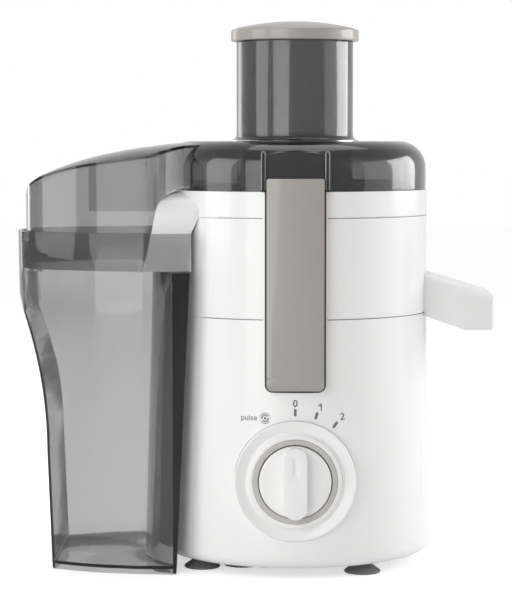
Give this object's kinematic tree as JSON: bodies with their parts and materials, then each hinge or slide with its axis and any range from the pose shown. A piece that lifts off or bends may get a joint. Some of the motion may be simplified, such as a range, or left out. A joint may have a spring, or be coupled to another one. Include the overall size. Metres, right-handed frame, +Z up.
{
  "type": "centrifugal juicer",
  "caption": "Countertop centrifugal juicer with a white motor base and juice bowl, a smoke lid with feed tube and pusher, latch arms, a rotary dial and a side pulp container.",
  "frame": {"origin": "middle of the footprint's bounding box, on the table plane", "axes": "+Z up, +X towards the juice spout, -X towards the pulp container, -Y towards the dial"},
  "size_m": [0.3224, 0.203, 0.3645],
  "materials": {
    "white_plastic": "gloss",
    "smoke_plastic": "clear smoke gloss",
    "warm_grey_plastic": "satin",
    "ring_grey_plastic": "satin",
    "grey_rubber": "matte",
    "screw_steel": "bright",
    "mesh_steel": "etched mesh",
    "lamination_steel": "varnished stack",
    "cast_bracket": "cast",
    "copper_wire": "enamelled copper",
    "black_plastic": "moulded",
    "basket_plastic": "smoke gloss"
  },
  "bodies": {
    "base": {"motor_housing": "white_plastic", "base_plate": "white_plastic", "base_screws": "screw_steel", "foot_front_right": "grey_rubber", "foot_front_left": "grey_rubber", "foot_rear_right": "grey_rubber", "foot_rear_left": "grey_rubber", "foot_right": "grey_rubber", "foot_inner": "grey_rubber", "juice_bowl": "white_plastic", "spout": "white_plastic", "pulp_guide": "white_plastic", "lid": "smoke_plastic", "feed_tube": "smoke_plastic", "latch_pin_front": "screw_steel", "latch_pin_rear": "screw_steel", "dial_bezel": "white_plastic", "dial_ring": "ring_grey_plastic", "speed_switch": "black_plastic", "switch_nut": "screw_steel", "safety_switch": "black_plastic", "cord_gland": "black_plastic", "stator_core": "lamination_steel", "field_coils": "copper_wire", "upper_bracket": "cast_bracket", "lower_bracket": "cast_bracket", "upper_bearing": "screw_steel", "lower_bearing": "screw_steel", "brush_holder_left": "black_plastic", "brush_holder_right": "black_plastic", "carbon_brushes": "black_plastic", "motor_screws": "screw_steel", "rubber_mounts": "grey_rubber", "shaft_seal": "grey_rubber"},
    "rotor": {"motor_shaft": "screw_steel", "rotor_core": "lamination_steel", "rotor_windings": "copper_wire", "commutator": "copper_wire", "cooling_fan": "black_plastic", "drive_coupler": "black_plastic", "basket_frame": "basket_plastic", "filter_mesh": "mesh_steel", "grater_disc": "mesh_steel"},
    "latch_front": {"latch_arm_front": "warm_grey_plastic"},
    "latch_rear": {"latch_arm_rear": "warm_grey_plastic"},
    "pusher": {"pusher_tube": "smoke_plastic", "pusher_cap": "warm_grey_plastic"},
    "container": {"pulp_container": "smoke_plastic"},
    "dial": {"dial_knob": "white_plastic", "dial_shaft": "screw_steel"}
  },
  "joints": [
    {"name": "basket_spin", "type": "hinge", "parent": "base", "child": "rotor", "pos_m": [0.0262, 0.004, 0.2], "axis": [0, 0, 1], "continuous": true},
    {"name": "latch_front_swing", "type": "hinge", "parent": "base", "child": "latch_front", "pos_m": [0.0262, -0.0879, 0.1291], "axis": [1, 0, 0], "range_deg": [0, 35]},
    {"name": "latch_rear_swing", "type": "hinge", "parent": "base", "child": "latch_rear", "pos_m": [0.0262, 0.0959, 0.1291], "axis": [-1, 0, 0], "range_deg": [0, 35]},
    {"name": "pusher_lift", "type": "slide", "parent": "base", "child": "pusher", "axis": [0, 0, 1], "range_m": [0, 0.09]},
    {"name": "container_pull", "type": "slide", "parent": "base", "child": "container", "axis": [-1, 0, 0], "range_m": [0, 0.2]},
    {"name": "dial_turn", "type": "hinge", "parent": "base", "child": "dial", "pos_m": [0.0262, -0.086, 0.065], "axis": [0, -1, 0], "range_deg": [-36, 27]}
  ]
}
